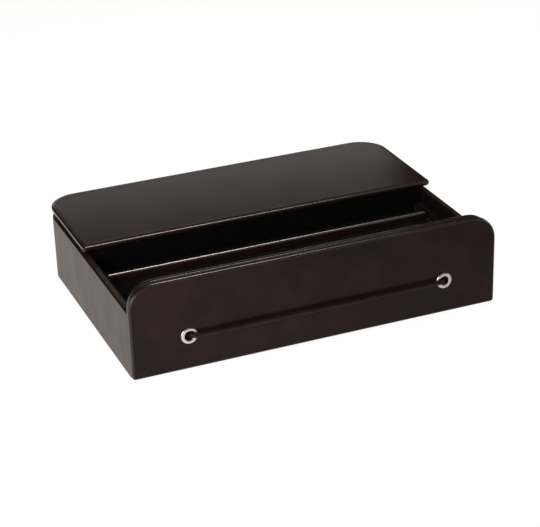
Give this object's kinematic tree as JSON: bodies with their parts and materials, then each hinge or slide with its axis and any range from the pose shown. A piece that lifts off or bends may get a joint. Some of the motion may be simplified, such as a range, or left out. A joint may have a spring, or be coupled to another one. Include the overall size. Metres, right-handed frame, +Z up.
{
  "type": "valet box with drawer",
  "caption": "Low leather-covered valet box with an open tray and divider, a hinged flap over a rear compartment, and a drawer beneath pulled by a cord.",
  "frame": {"origin": "centre of the overall box's footprint, on the table", "axes": "+X to the owner's right along the front, -Y out of the drawer's front, +Z up"},
  "size_m": [0.3, 0.2262, 0.0755],
  "materials": {
    "espresso_leather": "smooth dark brown leather with a low sheen",
    "black_velvet": "short black velvet",
    "base_felt": "pressed black felt",
    "fibreboard": "raw fibreboard, covered",
    "black_board": "fibreboard with black paper",
    "polished_nickel": "polished nickel plate",
    "plated_steel": "nickel-plated steel",
    "leather_cord": "round dark brown leather cord",
    "glide_strip": "slick plastic strip"
  },
  "bodies": {
    "case": {"base_felt": "base_felt", "base_board": "fibreboard", "left_side_panel": "fibreboard", "right_side_panel": "fibreboard", "back_panel": "fibreboard", "rear_corner_left": "fibreboard", "rear_corner_right": "fibreboard", "case_leather": "espresso_leather", "front_wall_board": "fibreboard", "front_wall_leather": "espresso_leather", "front_wall_facing": "espresso_leather", "drawer_guide_left": "fibreboard", "drawer_guide_right": "fibreboard", "drawer_glide_left": "glide_strip", "drawer_glide_right": "glide_strip", "drawer_stop": "fibreboard", "tray_floor_board": "fibreboard", "tray_floor_velvet": "black_velvet", "tray_liner_left": "black_velvet", "tray_liner_right": "black_velvet", "divider_board": "fibreboard", "divider_leather": "espresso_leather", "compartment_partition": "black_velvet", "compartment_liner_left": "black_velvet", "compartment_liner_right": "black_velvet", "compartment_liner_rear": "black_velvet", "hinge_left_case_leaf": "plated_steel", "hinge_right_case_leaf": "plated_steel", "hinge_left_pin": "plated_steel", "hinge_right_pin": "plated_steel", "hinge_case_screws": "plated_steel"},
    "lid": {"lid_board": "fibreboard", "lid_leather": "espresso_leather", "lid_lining": "black_velvet", "hinge_left_lid_leaf": "plated_steel", "hinge_right_lid_leaf": "plated_steel", "hinge_lid_screws": "plated_steel"},
    "drawer": {"drawer_front_leather": "espresso_leather", "drawer_front_board": "fibreboard", "drawer_front_backing": "espresso_leather", "drawer_inner_front": "black_board", "drawer_side_left": "black_board", "drawer_side_right": "black_board", "drawer_back": "black_board", "drawer_bottom": "black_board", "drawer_velvet": "black_velvet", "drawer_front_screws": "plated_steel", "eyelet_left": "polished_nickel", "eyelet_right": "polished_nickel", "eyelet_left_washer": "polished_nickel", "eyelet_right_washer": "polished_nickel", "pull_cord": "leather_cord", "cord_knot_left": "leather_cord", "cord_knot_right": "leather_cord"}
  },
  "joints": [
    {"name": "drawer_slide", "type": "slide", "parent": "case", "child": "drawer", "axis": [0, -1, 0], "range_m": [0, 0.1425]},
    {"name": "lid_hinge", "type": "hinge", "parent": "case", "child": "lid", "pos_m": [0, 0.1115, 0.05565], "axis": [-1, 0, 0], "range_deg": [0, 100]}
  ]
}
